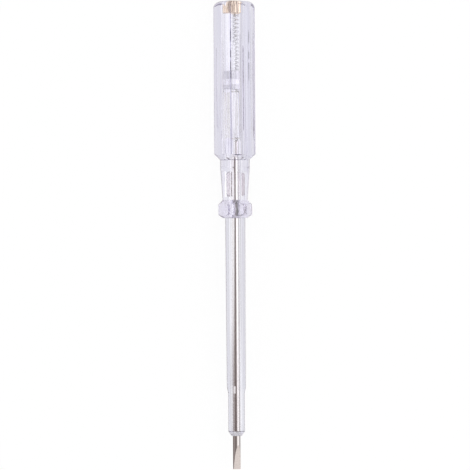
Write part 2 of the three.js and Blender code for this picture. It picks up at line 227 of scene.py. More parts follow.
def addRange(tree, source, fromLow, fromHigh, toLow=0, toHigh=1):
    limits = {"From Min": fromLow, "From Max": fromHigh, "To Min": toLow, "To Max": toHigh}
    return addNode(tree, "ShaderNodeMapRange", {"Value": source, **limits}).outputs["Result"]


def addStretch(tree, source, stretch):
    # 0 before a stretch along the tool, and 1 after it
    start, end = stretch
    return addRange(tree, source, start * mm, end * mm)


def addRamp(tree, source, unit, stops, level=1.0):
    # colours or greys by a distance or an angle, as far below nothing as above it
    most = stops[-1][0]
    share = addRange(tree, source, -most * unit, most * unit)
    ramp = addNode(tree, "ShaderNodeValToRGB", {"Fac": share})
    marks = ramp.color_ramp.elements
    for i, (at, color) in enumerate(stops):
        where = (at / most + 1) / 2
        mark = marks[i] if i < 2 else marks.new(where)
        mark.position = where
        tones = color if isinstance(color, tuple) else (color,) * 3
        mark.color = (*[tone / level for tone in tones], 1)
    return ramp.outputs["Color"]


def addMath(tree, operation, first, second, clamp=True):
    node = tree.nodes.new("ShaderNodeMath")
    node.operation = operation
    node.use_clamp = clamp
    setSockets(tree, node, {0: first, 1: second})
    return node.outputs[0]


def addMix(tree, share, first, second):
    node = tree.nodes.new("ShaderNodeMix")
    node.data_type = "RGBA"
    setSockets(tree, node, {"Factor": share, "A": first, "B": second})
    return node.outputs["Result"]


def mixSurface(tree, share, first, second):
    mix = addNode(tree, "ShaderNodeMixShader", {"Fac": share, 1: first.outputs[0], 2: second.outputs[0]})
    setSockets(tree, tree.nodes["Material Output"], {"Surface": mix.outputs["Shader"]})


def newMaterial(name, values):
    material = bpy.data.materials.new(name)
    material.use_nodes = True
    tree = material.node_tree
    shader = tree.nodes["Principled BSDF"]
    setSockets(tree, shader, values)
    return material, tree, shader


def newGroup(name, inputs, outputs):
    # a shared effect; each socket has a name and a kind
    tree = bpy.data.node_groups.new(name, "ShaderNodeTree")
    for way, sockets in (("INPUT", inputs), ("OUTPUT", outputs)):
        for title, kind in sockets.items():
            tree.interface.new_socket(title, in_out=way, socket_type=kind)
    return tree, tree.nodes.new("NodeGroupInput").outputs, tree.nodes.new("NodeGroupOutput")


def makeGrainGroup():
    # fine lines drawn out along the tool
    number = "NodeSocketFloat"
    tree, given, out = newGroup("Drawn lines", {"Across": number, "Along": number}, {"Lines": number})
    where = tree.nodes.new("ShaderNodeTexCoord")
    across = given["Across"]
    stretch = addNode(tree, "ShaderNodeCombineXYZ", {"X": given["Along"], "Y": across, "Z": across})
    scale = tree.nodes.new("ShaderNodeVectorMath")
    scale.operation = "MULTIPLY"
    setSockets(tree, scale, {0: where.outputs["Object"], 1: stretch.outputs["Vector"]})
    noise = addNode(tree, "ShaderNodeTexNoise", {"Vector": scale.outputs["Vector"], "Scale": 1.0, "Detail": 3})
    setSockets(tree, out, {"Lines": noise.outputs["Fac"]})
    return tree


def makeTintGroup():
    # soft patches between two colours
    number, color = "NodeSocketFloat", "NodeSocketColor"
    inputs = {"Size": number, "Light": color, "Dark": color}
    tree, given, out = newGroup("Soft patches", inputs, {"Color": color, "Mask": number})
    where = tree.nodes.new("ShaderNodeTexCoord")
    values = {"Vector": where.outputs["Object"], "Scale": given["Size"], "Detail": 4}
    mask = addNode(tree, "ShaderNodeTexNoise", values).outputs["Fac"]
    setSockets(tree, out, {"Color": addMix(tree, mask, given["Light"], given["Dark"]), "Mask": mask})
    return tree


grainGroup = makeGrainGroup()
tintGroup = makeTintGroup()


def addLines(tree, scales):
    across, along = scales
    return addGroup(tree, grainGroup, {"Across": across, "Along": along})["Lines"]


def addPatches(tree, size, light, dark):
    return addGroup(tree, tintGroup, {"Size": size, "Light": light, "Dark": dark})


def addFinish(tree, shader, pattern, look):
    # the roughness and a fine relief follow one pattern
    least, most = 0.3, 0.7
    strength, depth = look["bump"]
    bump = addNode(tree, "ShaderNodeBump", {"Strength": strength, "Distance": depth * mm, "Height": pattern})
    roughness = addRange(tree, pattern, least, most, *look["roughness"])
    setSockets(tree, shader, {"Roughness": roughness, "Normal": bump.outputs["Normal"]})


# what the clear materials share unless they say otherwise
plasticLook = {
    "through": 1, "surface": (1, 1, 1), "shade": (0.95, 0.95, 0.97), "ior": 1.485, "roughness": (0.01, 0.03),
}

# light that has been reflected more often than this inside the plastic leaves it, in this shade
caughtAfter = 2.5
caughtShade = (0.84, 0.82, 0.75)


def clearMaterial(name, given):
    look = {**plasticLook, **given}
    surface = look["surface"]
    material, tree, shader = newMaterial(name, {
        "Base Color": surface, "IOR": look["ior"], "Transmission Weight": look["through"],
    })
    addFinish(tree, shader, addLines(tree, look["lines"]), look)
    if "streak" in look:
        # fine darker streaks along the tool, more of them in some stretches than in others
        often = addRamp(tree, addCoordinates(tree)["X"], mm, look["streakStretches"])
        share = addMath(tree, "SUBTRACT", addLines(tree, look["streakLines"]), look["streakFrom"])
        share = addMath(tree, "MULTIPLY", share, look["streakRise"])
        share = addMath(tree, "MULTIPLY", share, often)
        setSockets(tree, shader, {"Base Color": addMix(tree, share, surface, look["streak"])})
    if "seamShadeColor" in look:
        # painted shade: soft darker patches, and solid painted shade in a few stretches along the tool
        patches = addPatches(tree, look["patch"], surface, look["seamPatchShade"])["Color"]
        solid = addRamp(tree, addCoordinates(tree)["X"], mm, look["seamShadeStretches"])
        setSockets(tree, shader, {"Base Color": addMix(tree, solid, patches, look["seamShadeColor"])})
    absorb = addNode(tree, "ShaderNodeVolumeAbsorption", {"Color": look["body"], "Density": look["density"]})
    setSockets(tree, tree.nodes["Material Output"], {"Volume": absorb.outputs["Volume"]})
    # lamps and the room still light what lies inside, and caught light comes out
    path = tree.nodes.new("ShaderNodeLightPath").outputs
    caught = addMath(tree, "GREATER_THAN", path["Glossy Depth"], caughtAfter)
    shade = addMix(tree, caught, look["shade"], caughtShade)
    clear = addNode(tree, "ShaderNodeBsdfTransparent", {"Color": shade})
    mixSurface(tree, addMath(tree, "MAXIMUM", path["Is Shadow Ray"], caught), shader, clear)
    return material


def solidMaterial(name, look):
    values = {"Metallic": look.get("metallic", 1), "Coat Weight": look.get("coat", 0)}
    material, tree, shader = newMaterial(name, values)
    tint = addPatches(tree, look["patch"], look["light"], look["dark"])
    color = tint["Color"]
    if "fade" in look:
        # darker towards one end
        share = addStretch(tree, addCoordinates(tree)["X"], look["fadeStretch"])
        color = addMix(tree, share, color, look["fade"])
    setSockets(tree, shader, {"Base Color": color})
    addFinish(tree, shader, addLines(tree, look["lines"]) if "lines" in look else tint["Mask"], look)
    return material


# Materials: lines are their scales across and along the tool, bump a strength and a depth,
# and stretches lie along the tool on either side of its middle

handleTint = (0.575, 0.555, 0.73)
clearPlastic = clearMaterial("Clear plastic", {
    "lines": (1700, 16), "bump": (0.5, 0.04), "body": handleTint, "density": 50,
    "streak": (0.56, 0.53, 0.64), "streakLines": (1900, 45), "streakFrom": 0.57, "streakRise": 9,
    "streakStretches": ((-95, 0.1), (-75, 0.3), (-60, 0.8), (-35, 1), (-20, 0.6), (95, 0)),
})
# the collar's flats sank a little as it cooled, so that what lies behind them is broken up
collarPlastic = clearMaterial("Clear plastic, uneven", {
    "through": 0.9, "surface": (0.98, 0.96, 1.0),
    "lines": (480, 300), "bump": (1.0, 0.3), "body": handleTint, "density": 52,
})
# the moulding line along the grip gets painted shade: near-black stretches and soft darker patches in its colour
shadedSeamPlastic = clearMaterial("Plastic with painted shade in its line", {
    "shade": (0.8, 0.8, 0.83), "roughness": (0.1, 0.3),
    "lines": (120, 120), "bump": (0.3, 0.03), "body": handleTint, "density": 52,
    "patch": 160, "seamPatchShade": (0.92, 0.91, 0.94), "seamShadeColor": (0.05, 0.045, 0.06),
    "seamShadeStretches": (
        (-95, 0), (-84, 0.05), (-82, 0.9), (-78.5, 0.9), (-77.8, 0), (-75.2, 0), (-74.5, 0.9), (-72, 0.9),
        (-71.4, 0), (-70.5, 0), (-69.9, 0.9), (-63.5, 0.8), (-62.2, 0.1), (-36, 0.1), (95, 0),
    ),
})
sleevePlastic = clearMaterial("Clear sleeve plastic", {
    "lines": (1200, 12), "bump": (0.15, 0.03), "body": (0.47, 0.47, 0.60), "density": 84,
})
turnedPlastic = clearMaterial("Turned plastic end", {
    "through": 0.45, "surface": (0.84, 0.82, 0.87), "roughness": (0.25, 0.4),
    "lines": (300, 5000), "bump": (0.4, 0.03), "body": (0.47, 0.47, 0.65), "density": 64,
})
lampGlass = clearMaterial("Lamp glass", {
    "shade": (0.96, 0.96, 0.96), "ior": 1.52, "roughness": (0.0, 0.02),
    "lines": (700, 60), "bump": (0.1, 0.02), "body": (0.93, 0.95, 0.95), "density": 20,
})
chromedSteel = solidMaterial("Chromed steel", {
    "light": (0.86, 0.84, 0.83), "dark": (0.78, 0.755, 0.745), "patch": 300, "roughness": (0.04, 0.11),
    "fade": (0.60, 0.56, 0.55), "fadeStretch": (10, 85), "lines": (5000, 90), "bump": (0.2, 0.01),
})
pressedSteel = solidMaterial("Pressed steel", {
    "metallic": 0.75, "light": (0.91, 0.87, 0.88), "dark": (0.79, 0.75, 0.76), "patch": 700,
    "roughness": (0.6, 0.75), "lines": (800, 800), "bump": (0.3, 0.02),
})
groundSteel = solidMaterial("Ground steel", {
    "light": (0.57, 0.51, 0.485), "dark": (0.37, 0.325, 0.305), "patch": 1600,
    "roughness": (0.26, 0.45), "lines": (250, 5000), "bump": (0.9, 0.03),
})
brass = solidMaterial("Brass", {
    "light": (0.98, 0.84, 0.69), "dark": (0.84, 0.69, 0.54), "patch": 700,
    "roughness": (0.24, 0.38), "lines": (3000, 3000), "bump": (0.25, 0.01),
})
springSteel = solidMaterial("Spring steel", {
    "light": (0.86, 0.86, 0.88), "dark": (0.74, 0.74, 0.76), "patch": 900,
    "roughness": (0.14, 0.24), "lines": (4000, 4000), "bump": (0.2, 0.01),
})
tinnedCap = solidMaterial("Tinned cap", {
    "metallic": 0.2, "light": (0.86, 0.85, 0.87), "dark": (0.70, 0.69, 0.72), "patch": 1100,
    "roughness": (0.5, 0.7), "lines": (3000, 300), "bump": (0.25, 0.01),
})
nickel = solidMaterial("Nickel", {
    "metallic": 0.4, "light": (0.96, 0.95, 0.94), "dark": (0.9, 0.89, 0.88), "patch": 800,
    "roughness": (0.2, 0.36), "lines": (3000, 300), "bump": (0.2, 0.01),
})
lacquer = solidMaterial("Pale lacquer", {
    "metallic": 0, "coat": 0.1, "light": (0.98, 0.97, 0.99), "dark": (0.92, 0.90, 0.93), "patch": 500,
    "roughness": (0.55, 0.75), "bump": (0.2, 0.02),
})
print("materials made")


# Handle: one closed skin that runs over the outside and back through the bores

handle = {
    "apothem": 7.78, "cornerRadius": 3.2, "rearFace": 0.3, "rearRound": 3.0, "roundRows": 14,
    "sideStart": 6.0, "plainRows": (9, 11.5), "lastPlainRow": 59.5, "gripEnd": 62.1, "shoulderEnd": 64.5,
    "scallopStart": 13.2, "scallopEnd": 57.8, "scallopRadius": 6.0, "scallopDepth": 0.4, "scallopRunout": 6.5,
    "runoutRows": 16, "runoutPower": 1.5, "middleRows": 8,
    # the hollow's columns are this wide at its points, and wider again beyond them
    "leastHalf": 0.02, "plainHalf": 1.2, "plainRunout": 3,
    "neckRadius": 6.0, "neckTaperStart": 67.4, "neckFrontRadius": 5.1, "neckTurn": 0.2,
    "neckLine": (0.07, 0.02), "neckLineHalf": 0.22,
    "collarApothem": 6.15, "collarCornerRadius": 0.8, "collarMiddle": 1.0,
    "collarStart": 80.8, "collarLandStart": 82.8, "collarFrontStart": 86.7, "collarEnd": 88.1,
    "collarFaceRadius": 5.0, "seatRadius": 4.2, "seatDepth": 0.5, "boreRadius": 3.2, "boreEnd": 62.3,
    "boreConeEnd": 63.6, "holeRadius": 1.88, "bushRadius": 3.55, "bushEnd": 5.2,
    "slotStart": 69.1, "slotEnd": 79.5, "slotHalfSpan": 2.95, "slotHalfThickness": 0.75,
    "flatColumns": 7, "grooveColumns": 10,
    "corner": (0, 0.08, 0.15, 0.22, 0.3, 0.38, 0.45, 0.57, 0.71, 0.85),
    "seamSides": (1, 4), "seamAt": 0.3, "seamHalf": 0.15, "seamDepth": 0.05,
    # faces further from the axis than this belong to the outside
    "gripSkin": 6.5, "collarSkin": 4.4,
}


def handleColumns():
    # each column is a side of the hexagon, the stretch that it lies in, and a share along that stretch
    counts = handle["flatColumns"], handle["grooveColumns"]
    flat, groove = [[i / count for i in range(count)] for count in counts]
    bend = handle["corner"]
    stretches = (("before", bend), ("left", flat), ("groove", groove), ("right", flat), ("after", bend))
    return [(side, stretch, share) for side in range(6) for stretch, shares in stretches for share in shares]


def hexagonRow(columns, apothem, cornerRadius, grooveHalf, grooveDrop, seamDepth=0.0):
    # offsets from the axis of every column on one section; grooveDrop gives how deep the hollow is at an offset
    halfFlat = (apothem - cornerRadius) * math.tan(math.pi / 6)
    reach = (apothem - cornerRadius) / math.cos(math.pi / 6)
    out = []
    for side, stretch, share in columns:
        normal = math.pi / 6 + side * math.pi / 3
        if stretch in ("before", "after"):
            # half a corner on either side of the flat
            middle = normal + (-1 if stretch == "before" else 1) * math.pi / 6
            direction = middle + (share if stretch == "before" else share - 1) * math.pi / 6
            radius = cornerRadius
            if stretch == "after" and side in handle["seamSides"]:
                radius -= seamDepth * max(1 - abs(share - handle["seamAt"]) / handle["seamHalf"], 0)
            out.append((
                reach * math.cos(middle) + radius * math.cos(direction),
                reach * math.sin(middle) + radius * math.sin(direction),
            ))
            continue
        if stretch == "left":
            offset = -halfFlat + (halfFlat - grooveHalf) * share
        elif stretch == "groove":
            offset = grooveHalf * (2 * share - 1)
        else:
            offset = grooveHalf + (halfFlat - grooveHalf) * share
        height = apothem - grooveDrop(offset)
        out.append((
            height * math.cos(normal) - offset * math.sin(normal),
            height * math.sin(normal) + offset * math.cos(normal),
        ))
    return np.array(out)


def gripRow(columns, x):
    # the hollow's half width falls to almost nothing at its two points, and opens again beyond them on the flat
    least, depth = handle["leastHalf"], handle["scallopDepth"]
    centre = handle["scallopRadius"] - depth
    into = min(x - handle["scallopStart"], handle["scallopEnd"] - x)
    if into > 0:
        reach = centre + depth * min(into / handle["scallopRunout"], 1)
        half = max(math.sqrt(reach ** 2 - centre ** 2), least)
    else:
        half = least + min(-into / handle["plainRunout"], 1) * handle["plainHalf"]

    def drop(offset):
        return math.sqrt(reach ** 2 - offset ** 2) - centre if into > 0 and abs(offset) < half else 0

    return hexagonRow(columns, handle["apothem"], handle["cornerRadius"], half, drop, handle["seamDepth"])


def polar(row):
    return np.hypot(row[:, 0], row[:, 1]), np.arctan2(row[:, 1], row[:, 0])


def makeHandle():
    columns = handleColumns()
    rearFace, rearRound, gripEnd = handle["rearFace"], handle["rearRound"], handle["gripEnd"]
    shoulderEnd, neck, neckFront = handle["shoulderEnd"], handle["neckRadius"], handle["neckFrontRadius"]
    taperStart, collarStart, collarEnd = handle["neckTaperStart"], handle["collarStart"], handle["collarEnd"]
    boreEnd, bore, hole = handle["boreEnd"], handle["boreRadius"], handle["holeRadius"]
    bushRadius, bushEnd, slotEnd = handle["bushRadius"], handle["bushEnd"], handle["slotEnd"]
    gripRadius, gripAngle = polar(gripRow(columns, rearFace))
    collarRadius, collarAngle = polar(hexagonRow(
        columns, handle["collarApothem"], handle["collarCornerRadius"], handle["collarMiddle"], lambda offset: 0,
    ))
    gripReach, collarReach = gripRadius.max(), collarRadius.max()
    turnBetween = np.angle(np.exp(1j * (collarAngle - gripAngle)))
    quarters = (0.25, 0.5, 0.75, 1)
    rows = []

    def addCircle(x, radius, share=0.0):
        rows.append(ring(x, radius, gripAngle + turnBetween * share))

    def addBetween(row, other, shares):
        for share in shares:
            rows.append(row + (other - row) * share)

    def gripAt(x):
        return np.column_stack([np.full(len(columns), x), gripRow(columns, x)])

    # rear face and its round, which meets each column where the round reaches the side
    faceRadius = gripReach - rearRound
    for radius in (bushRadius, (bushRadius + faceRadius) / 2, faceRadius):
        addCircle(rearFace, radius)
    meet = np.arcsin(np.clip((gripRadius - faceRadius) / rearRound, 0, 1))
    for i in range(1, handle["roundRows"] + 1):
        a = meet * i / handle["roundRows"]
        rows.append(ring(rearFace + rearRound * (1 - np.cos(a)), faceRadius + rearRound * np.sin(a), gripAngle))
    # sides with their hollows, with a row close to each point of a hollow
    start, end, runout = handle["scallopStart"], handle["scallopEnd"], handle["scallopRunout"]
    close = 0.15
    count, power = handle["runoutRows"], handle["runoutPower"]
    eased = [runout * (i / count) ** power for i in range(count + 1)]
    middle = end - start - 2 * runout
    stations = [handle["sideStart"], *handle["plainRows"], start - close]
    stations += [start + away for away in eased]
    stations += [start + runout + middle * i / handle["middleRows"] for i in range(1, handle["middleRows"] + 1)]
    stations += [end - away for away in eased[-2::-1]]
    stations += [end + close, handle["lastPlainRow"]]
    addBetween(rows[-1], gripAt(handle["sideStart"]), (0.5,))
    for x in stations:
        rows.append(gripAt(x))
    # shoulder cone, neck and its taper
    slope = (shoulderEnd - gripEnd) / (gripReach - neck)
    rows.append(ring(gripEnd + (gripReach - gripRadius) * slope, gripRadius, gripAngle))
    addBetween(rows[-1], ring(shoulderEnd, neck, gripAngle), (0.33, 0.66, 1))
    # a fine line is left where the taper starts, and the columns turn towards the collar's
    turn, lineHalf = handle["neckTurn"], handle["neckLineHalf"]
    lineDepth, afterLine = handle["neckLine"]
    addCircle(taperStart - lineHalf, neck, turn)
    addCircle(taperStart, neck - lineDepth, turn)
    addCircle(taperStart + lineHalf, neck - afterLine, turn)
    for share in quarters:
        x = taperStart + (collarStart - taperStart) * share
        addCircle(x, neck + (neckFront - neck) * share, turn + (1 - turn) * share)
    # collar
    slope = (handle["collarLandStart"] - collarStart) / (collarReach - neckFront)
    meetX = collarStart + (collarRadius - neckFront) * slope
    addBetween(rows[-1], ring(meetX, collarRadius, collarAngle), (0.5, 1))
    slope = (collarEnd - handle["collarFrontStart"]) / (collarReach - handle["collarFaceRadius"])
    meetX = handle["collarFrontStart"] + (collarReach - collarRadius) * slope
    addBetween(rows[-1], ring(meetX, collarRadius, collarAngle), (0.5, 1))
    addBetween(rows[-1], ring(collarEnd, handle["collarFaceRadius"], collarAngle), (0.5, 1))
    # sleeve seat, and back through the bores
    seatX, seatRadius = collarEnd - handle["seatDepth"], handle["seatRadius"]
    for x, radius in ((collarEnd, seatRadius), (seatX, seatRadius), (seatX, hole), (slotEnd, hole)):
        addCircle(x, radius, 1)
    slotAngles = gripAngle + turnBetween
    slotRadius = np.maximum(hole, boxRadius(slotAngles, handle["slotHalfSpan"], handle["slotHalfThickness"]))
    rows.append(ring(slotEnd, slotRadius, slotAngles))
    rows.append(ring(handle["slotStart"], slotRadius, slotAngles))
    addCircle(handle["slotStart"], hole, 1)
    addCircle(handle["boreConeEnd"], hole)
    addCircle(boreEnd, bore)
    for share in quarters:
        addCircle(boreEnd + (bushEnd - boreEnd) * share, bore)
    addCircle(bushEnd, bushRadius)
    return grid("clear_handle", rows, sharpDegrees=11, around=True)


def markSeam(piece):
    # painted shade darkens the moulding line along the grip, and the collar is less even than the rest
    piece.data.materials.append(shadedSeamPlastic)
    piece.data.materials.append(collarPlastic)
    columns = handleColumns()
    slack, past = 0.01, 0.1
    low, high = handle["seamAt"] - handle["seamHalf"] - slack, handle["seamAt"] + handle["seamHalf"] - slack
    shadedColumns = {
        i for i, (side, stretch, share) in enumerate(columns)
        if stretch == "after" and side in handle["seamSides"] and low < share < high
    }
    endX, collarX = rowX(handle["gripEnd"] - 1), rowX(handle["collarStart"] + past)
    for face in piece.data.polygons:
        seam = face.vertices[0] % len(columns) in shadedColumns
        if seam and face.center.x < endX and offAxis(face) > handle["gripSkin"]:
            face.material_index = 1
        if face.center.x > collarX and offAxis(face) > handle["collarSkin"]:
            face.material_index = 2


clearHandle = dress(makeHandle(), "handle_body", "tool", clearPlastic)
markSeam(clearHandle)
mergePoints(clearHandle)
print("handle made")


# Sleeve over the shank

sleeve = {
    "rearRadius": 4.1, "stepStart": 156.4, "midRadius": 3.86, "noseStart": 159.2, "noseRadius": 3.37,
    "chamferStart": 174.7, "lipRadius": 2.1, "hole": 1.88, "lipHole": 1.62, "lipLength": 6, "edge": 0.12,
    "coneSkin": 1.7,
}


def makeSleeve():
    start, end = span("shank_sleeve")
    edge, rear = sleeve["edge"], sleeve["rearRadius"]
    profile = [(start, sleeve["hole"])] + corner(start, rear - edge, start + edge, rear, 3)
    length, fall = sleeve["stepStart"] - start, sleeve["midRadius"] - rear
    profile += [(start + length * share, rear + fall * share) for share in (0.25, 0.5, 0.75, 1)]
    profile += [
        (sleeve["noseStart"], sleeve["noseRadius"]), (sleeve["chamferStart"], sleeve["noseRadius"]),
        (end, sleeve["lipRadius"]), (end, sleeve["lipHole"]), (end - sleeve["lipLength"], sleeve["hole"]),
    ]
    return turned("clear_sleeve", profile, sharpDegrees=8, count=128, around=True)


def frostEnd(piece):
    # the turned end cone is left dull from the lathe
    piece.data.materials.append(turnedPlastic)
    past = 0.05
    coneX = rowX(sleeve["chamferStart"] + past)
    for face in piece.data.polygons:
        if face.center.x > coneX and offAxis(face) > sleeve["coneSkin"]:
            face.material_index = 1


frostEnd(dress(makeSleeve(), "shank_sleeve", "tool", sleevePlastic))
print("sleeve made")


# Shank: round rod, wings and flat-ground blade

shank = {
    "radius": 1.55, "chamfer": 0.35, "wingStart": 69.4, "wingEnd": 79.2, "wingHalf": 2.65,
    "wingThickness": 0.45, "wingRamp": 0.9, "rampRows": 7, "rodRows": (100, 120, 140, 160, 175),
    "bladeStart": 180.3, "bladeHalf": 0.25, "bladeTurn": 13, "bladeRows": 40, "bladePower": 1.4,
    "faceCosine": 0.985, "tipCosine": 0.9,
    "turnStart": 84, "turnEnd": 87.5, "turnRows": 12, "crossing": 88.5,
    "columns": (12, 12, 22),
}


def shankAngles(cornerAngle, crossing):
    # a quarter turn split at the wing's corner and where the flat face meets the round, and the rest mirrored
    ends = (0, cornerAngle, crossing, math.pi / 2)
    spans = zip(ends, ends[1:], shank["columns"])
    quarter = np.concatenate([np.linspace(low, high, count, endpoint=False) for low, high, count in spans])
    mirrored = math.pi - np.append(quarter[1:], math.pi / 2)[::-1]
    half = np.concatenate([quarter, mirrored])
    return np.concatenate([half, half + math.pi])


def makeShank():
    start, end = span("blade_shank")
    radius, thickness, chamfer = shank["radius"], shank["wingThickness"], shank["chamfer"]
    wingStart, wingEnd, steps = shank["wingStart"], shank["wingEnd"], shank["rampRows"]
    plain = shankAngles(math.atan(thickness / shank["wingHalf"]), math.asin(thickness / radius))
    close = 0.01
    rows = [
        ring(start, radius - chamfer, plain), ring(start + chamfer, radius, plain),
        ring(wingStart - close, radius, plain),
    ]
    ramp = [(shank["wingRamp"] * i / steps, math.sin(i / steps * math.pi / 2)) for i in range(steps + 1)]
    stations = [(wingStart + away, share) for away, share in ramp]
    stations += [(wingEnd - away, share) for away, share in ramp[::-1]]
    for x, share in stations:
        half = radius + (shank["wingHalf"] - radius) * share
        rows.append(ring(x, np.maximum(radius, boxRadius(plain, half, thickness)), plain))
    rows.append(ring(wingEnd + close, radius, plain))
    # inside the collar the columns move to where the blade needs them
    turn = -shank["bladeTurn"] * degree
    tangent = shank["crossing"] * degree
    bladeAngles = shankAngles(tangent * 0.5, tangent) + turn
    for i in range(shank["turnRows"] + 1):
        share = i / shank["turnRows"]
        x = shank["turnStart"] + (shank["turnEnd"] - shank["turnStart"]) * share
        rows.append(ring(x, radius, plain + (bladeAngles - plain) * share))
    for x in shank["rodRows"]:
        rows.append(ring(x, radius, bladeAngles))
    # blade: the angle where flat meets round shrinks towards the tip
    spin = np.array([[math.cos(turn), -math.sin(turn)], [math.sin(turn), math.cos(turn)]])
    for i in range(shank["bladeRows"] + 1):
        share = (i / shank["bladeRows"]) ** shank["bladePower"]
        half = radius + (shank["bladeHalf"] - radius) * share
        crossing = min(math.asin(min(half / radius, 1)), tangent)
        angles = shankAngles(crossing * 0.5, crossing)
        flat = half / (np.abs(np.sin(angles)) + tiny)
        row = ring(shank["bladeStart"] + (end - shank["bladeStart"]) * share, np.minimum(radius, flat), angles)
        row[:, 1:] = row[:, 1:] @ spin.T
        rows.append(row)
    return grid("blade_and_shank", rows, sharpDegrees=16)


def markGround(piece):
    # the ground faces and the tip, and the pressed wings, are duller than the chrome
    piece.data.materials.append(groundSteel)
    piece.data.materials.append(pressedSteel)
    turn = shank["bladeTurn"] * degree
    normal = Vector((0, math.sin(turn), math.cos(turn)))
    bladeX, past = rowX(shank["bladeStart"]), 0.02
    for face in piece.data.polygons:
        ground = abs(face.normal.dot(normal)) > shank["faceCosine"] or face.normal.x > shank["tipCosine"]
        if face.center.x > bladeX and ground:
            face.material_index = 1
        if abs(face.center.y - axisY) > (shank["radius"] + past) * mm:
            face.material_index = 2


markGround(dress(makeShank(), "blade_shank", "tool", chromedSteel))
print("shank made")


# Brass bush and end screw

threadForm = {"pitch": 0.8, "major": 2.6, "depth": 0.25, "clearance": 0.12, "crestShare": 0.2, "rootShare": 0.7}


def threadRadius(x, angles, grow):
    # the ridge follows the helix that passes angle 0 one pitch behind the rear face
    phase = (x / threadForm["pitch"] - angles / tau) % 1
    away = np.minimum(phase, 1 - phase) - grow / threadForm["pitch"] / 2
    crest = threadForm["crestShare"] / 2
    root = threadForm["rootShare"] / 2
    share = np.clip((root - away) / (root - crest), 0, 1)
    share = share * share * (3 - 2 * share)
    return threadForm["major"] - threadForm["depth"] * (1 - share) + grow


bush = {
    "radius": 3.45, "rim": 0.8, "rimSlope": 0.12, "edge": 0.1, "edgeCut": 0.3, "threadRows": 56,
    "knurlDepth": 0.28, "teeth": 18, "toothRise": 1.2, "toothDip": 0.1, "columnsPerTooth": 8,
}


def makeBush():
    start, end = span("end_bush")
    radius, edge, clearance = bush["radius"], bush["edge"], threadForm["clearance"]
    cut, rimEnd = edge * bush["edgeCut"], start + bush["rim"]
    angles = evenAngles(bush["teeth"] * bush["columnsPerTooth"])
    tooth = 1 - np.abs(2 * ((angles * bush["teeth"] / tau) % 1) - 1)
    knurled = radius - bush["knurlDepth"] * np.clip(bush["toothRise"] * tooth - bush["toothDip"], 0, 1)
    mouth = threadForm["major"] + clearance
    profile = [
        (start, mouth), (start, radius - edge), (start + cut, radius - cut), (start + edge, radius),
        (rimEnd, radius), (rimEnd + bush["rimSlope"], knurled), (end - edge, knurled), (end, knurled - edge),
    ]
    for i in range(bush["threadRows"] + 1):
        x = end - (end - start) * i / bush["threadRows"]
        profile.append((x, np.maximum(threadRadius(x, angles, clearance), mouth - (x - start))))
    return grid("brass_bush", [ring(x, away, angles) for x, away in profile], around=True)


screw = {
    "columns": 96, "rows": 112, "edge": 0.25,
    "slotWidth": 0.9, "slotFlare": 0.05, "slotDepth": 1.1, "cutterReach": 4, "cutterRise": 1,
}


def makeScrew():
    start, end = span("end_screw")
    angles = evenAngles(screw["columns"])
    edge = screw["edge"]
    rows = []
    for i in range(screw["rows"] + 1):
        x = start + (end - start) * i / screw["rows"]
        limit = threadForm["major"] - max(edge - (x - start), edge - (end - x), 0)
        rows.append(ring(x, np.minimum(threadRadius(x, angles, 0), limit), angles))
    piece = grid("brass_end_screw", rows)
    # the slot, with its two walls a little apart at the mouth
    reach, half = screw["cutterReach"], screw["slotWidth"] / 2
    edges = ((start - screw["cutterRise"], half + screw["slotFlare"]), (start + screw["slotDepth"], half))
    corners = [(x, y, z) for x, wall in edges for y in (-reach, reach) for z in (-wall, wall)]
    faces = [(0, 1, 3, 2), (4, 6, 7, 5), (0, 4, 5, 1), (2, 3, 7, 6), (0, 2, 6, 4), (1, 5, 7, 3)]
    cutter = meshFrom("slot_cutter", corners, faces)
    cut = piece.modifiers.new("slot", "BOOLEAN")
    cut.operation = "DIFFERENCE"
    cut.solver = "EXACT"
    cut.object = cutter
    shape = bpy.data.meshes.new_from_object(piece.evaluated_get(bpy.context.evaluated_depsgraph_get()))
    piece.modifiers.clear()
    piece.data = shape
    bpy.data.objects.remove(cutter)
    shape.set_sharp_from_angle(angle=30 * degree)
    return piece


mergePoints(dress(makeBush(), "end_bush", "tool", brass))
dress(makeScrew(), "end_screw", "screw", brass)
print("bush and end screw made")


# Spring: closed end coils, open between them

spring = {
    "radius": 1.9, "wire": 0.23, "activeTurns": 13.6, "endTurns": 1, "endGap": 0.03,
    "stepsPerTurn": 28, "sides": 12,
}


def makeSpring():
    start, end = span("contact_spring")
    wire, endTurns, active = spring["wire"], spring["endTurns"], spring["activeTurns"]
    turns = active + 2 * endTurns
    endPitch = 2 * wire + spring["endGap"]
    activePitch = (end - start - 2 * wire - 2 * endTurns * endPitch) / active
    path = []
    x = start + wire
    count = round(turns * spring["stepsPerTurn"])
    for i in range(count + 1):
        turn = i / count * turns
        path.append((x, spring["radius"] * math.cos(turn * tau), spring["radius"] * math.sin(turn * tau)))
        nearEnd = min(turn, turns - turn) < endTurns
        x += (endPitch if nearEnd else activePitch) * turns / count
    return sweep("contact_coil", path, wire, spring["sides"])


coil = dress(makeSpring(), "contact_spring", None, springSteel)
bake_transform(coil)
print("spring made")


# Resistor: lacquered rod between two pressed caps

resistor = {
    "capRadius": 2.75, "wall": 0.3, "round": 0.35, "mouthEdge": (0.08, 0.06),
    "bodyRadius": 2.6, "coreRadius": 2.35, "coreEdge": 0.1, "bodyRound": 0.2,
}


def makeCap(name, node, opens):
    start, end = span(node)
    face, mouth = (start, end) if opens > 0 else (end, start)
    radius, wall, bend = resistor["capRadius"], resistor["wall"], resistor["round"]
    along, across = resistor["mouthEdge"]
    profile = [(face, 0)] + corner(face, radius - bend, face + opens * bend, radius, 6)
    profile += [
        (mouth - opens * along, radius), (mouth, radius - across), (mouth, radius - wall),
        (face + opens * wall, radius - wall), (face + opens * wall, 0),
    ]
    return turned(name, profile if opens > 0 else profile[::-1])


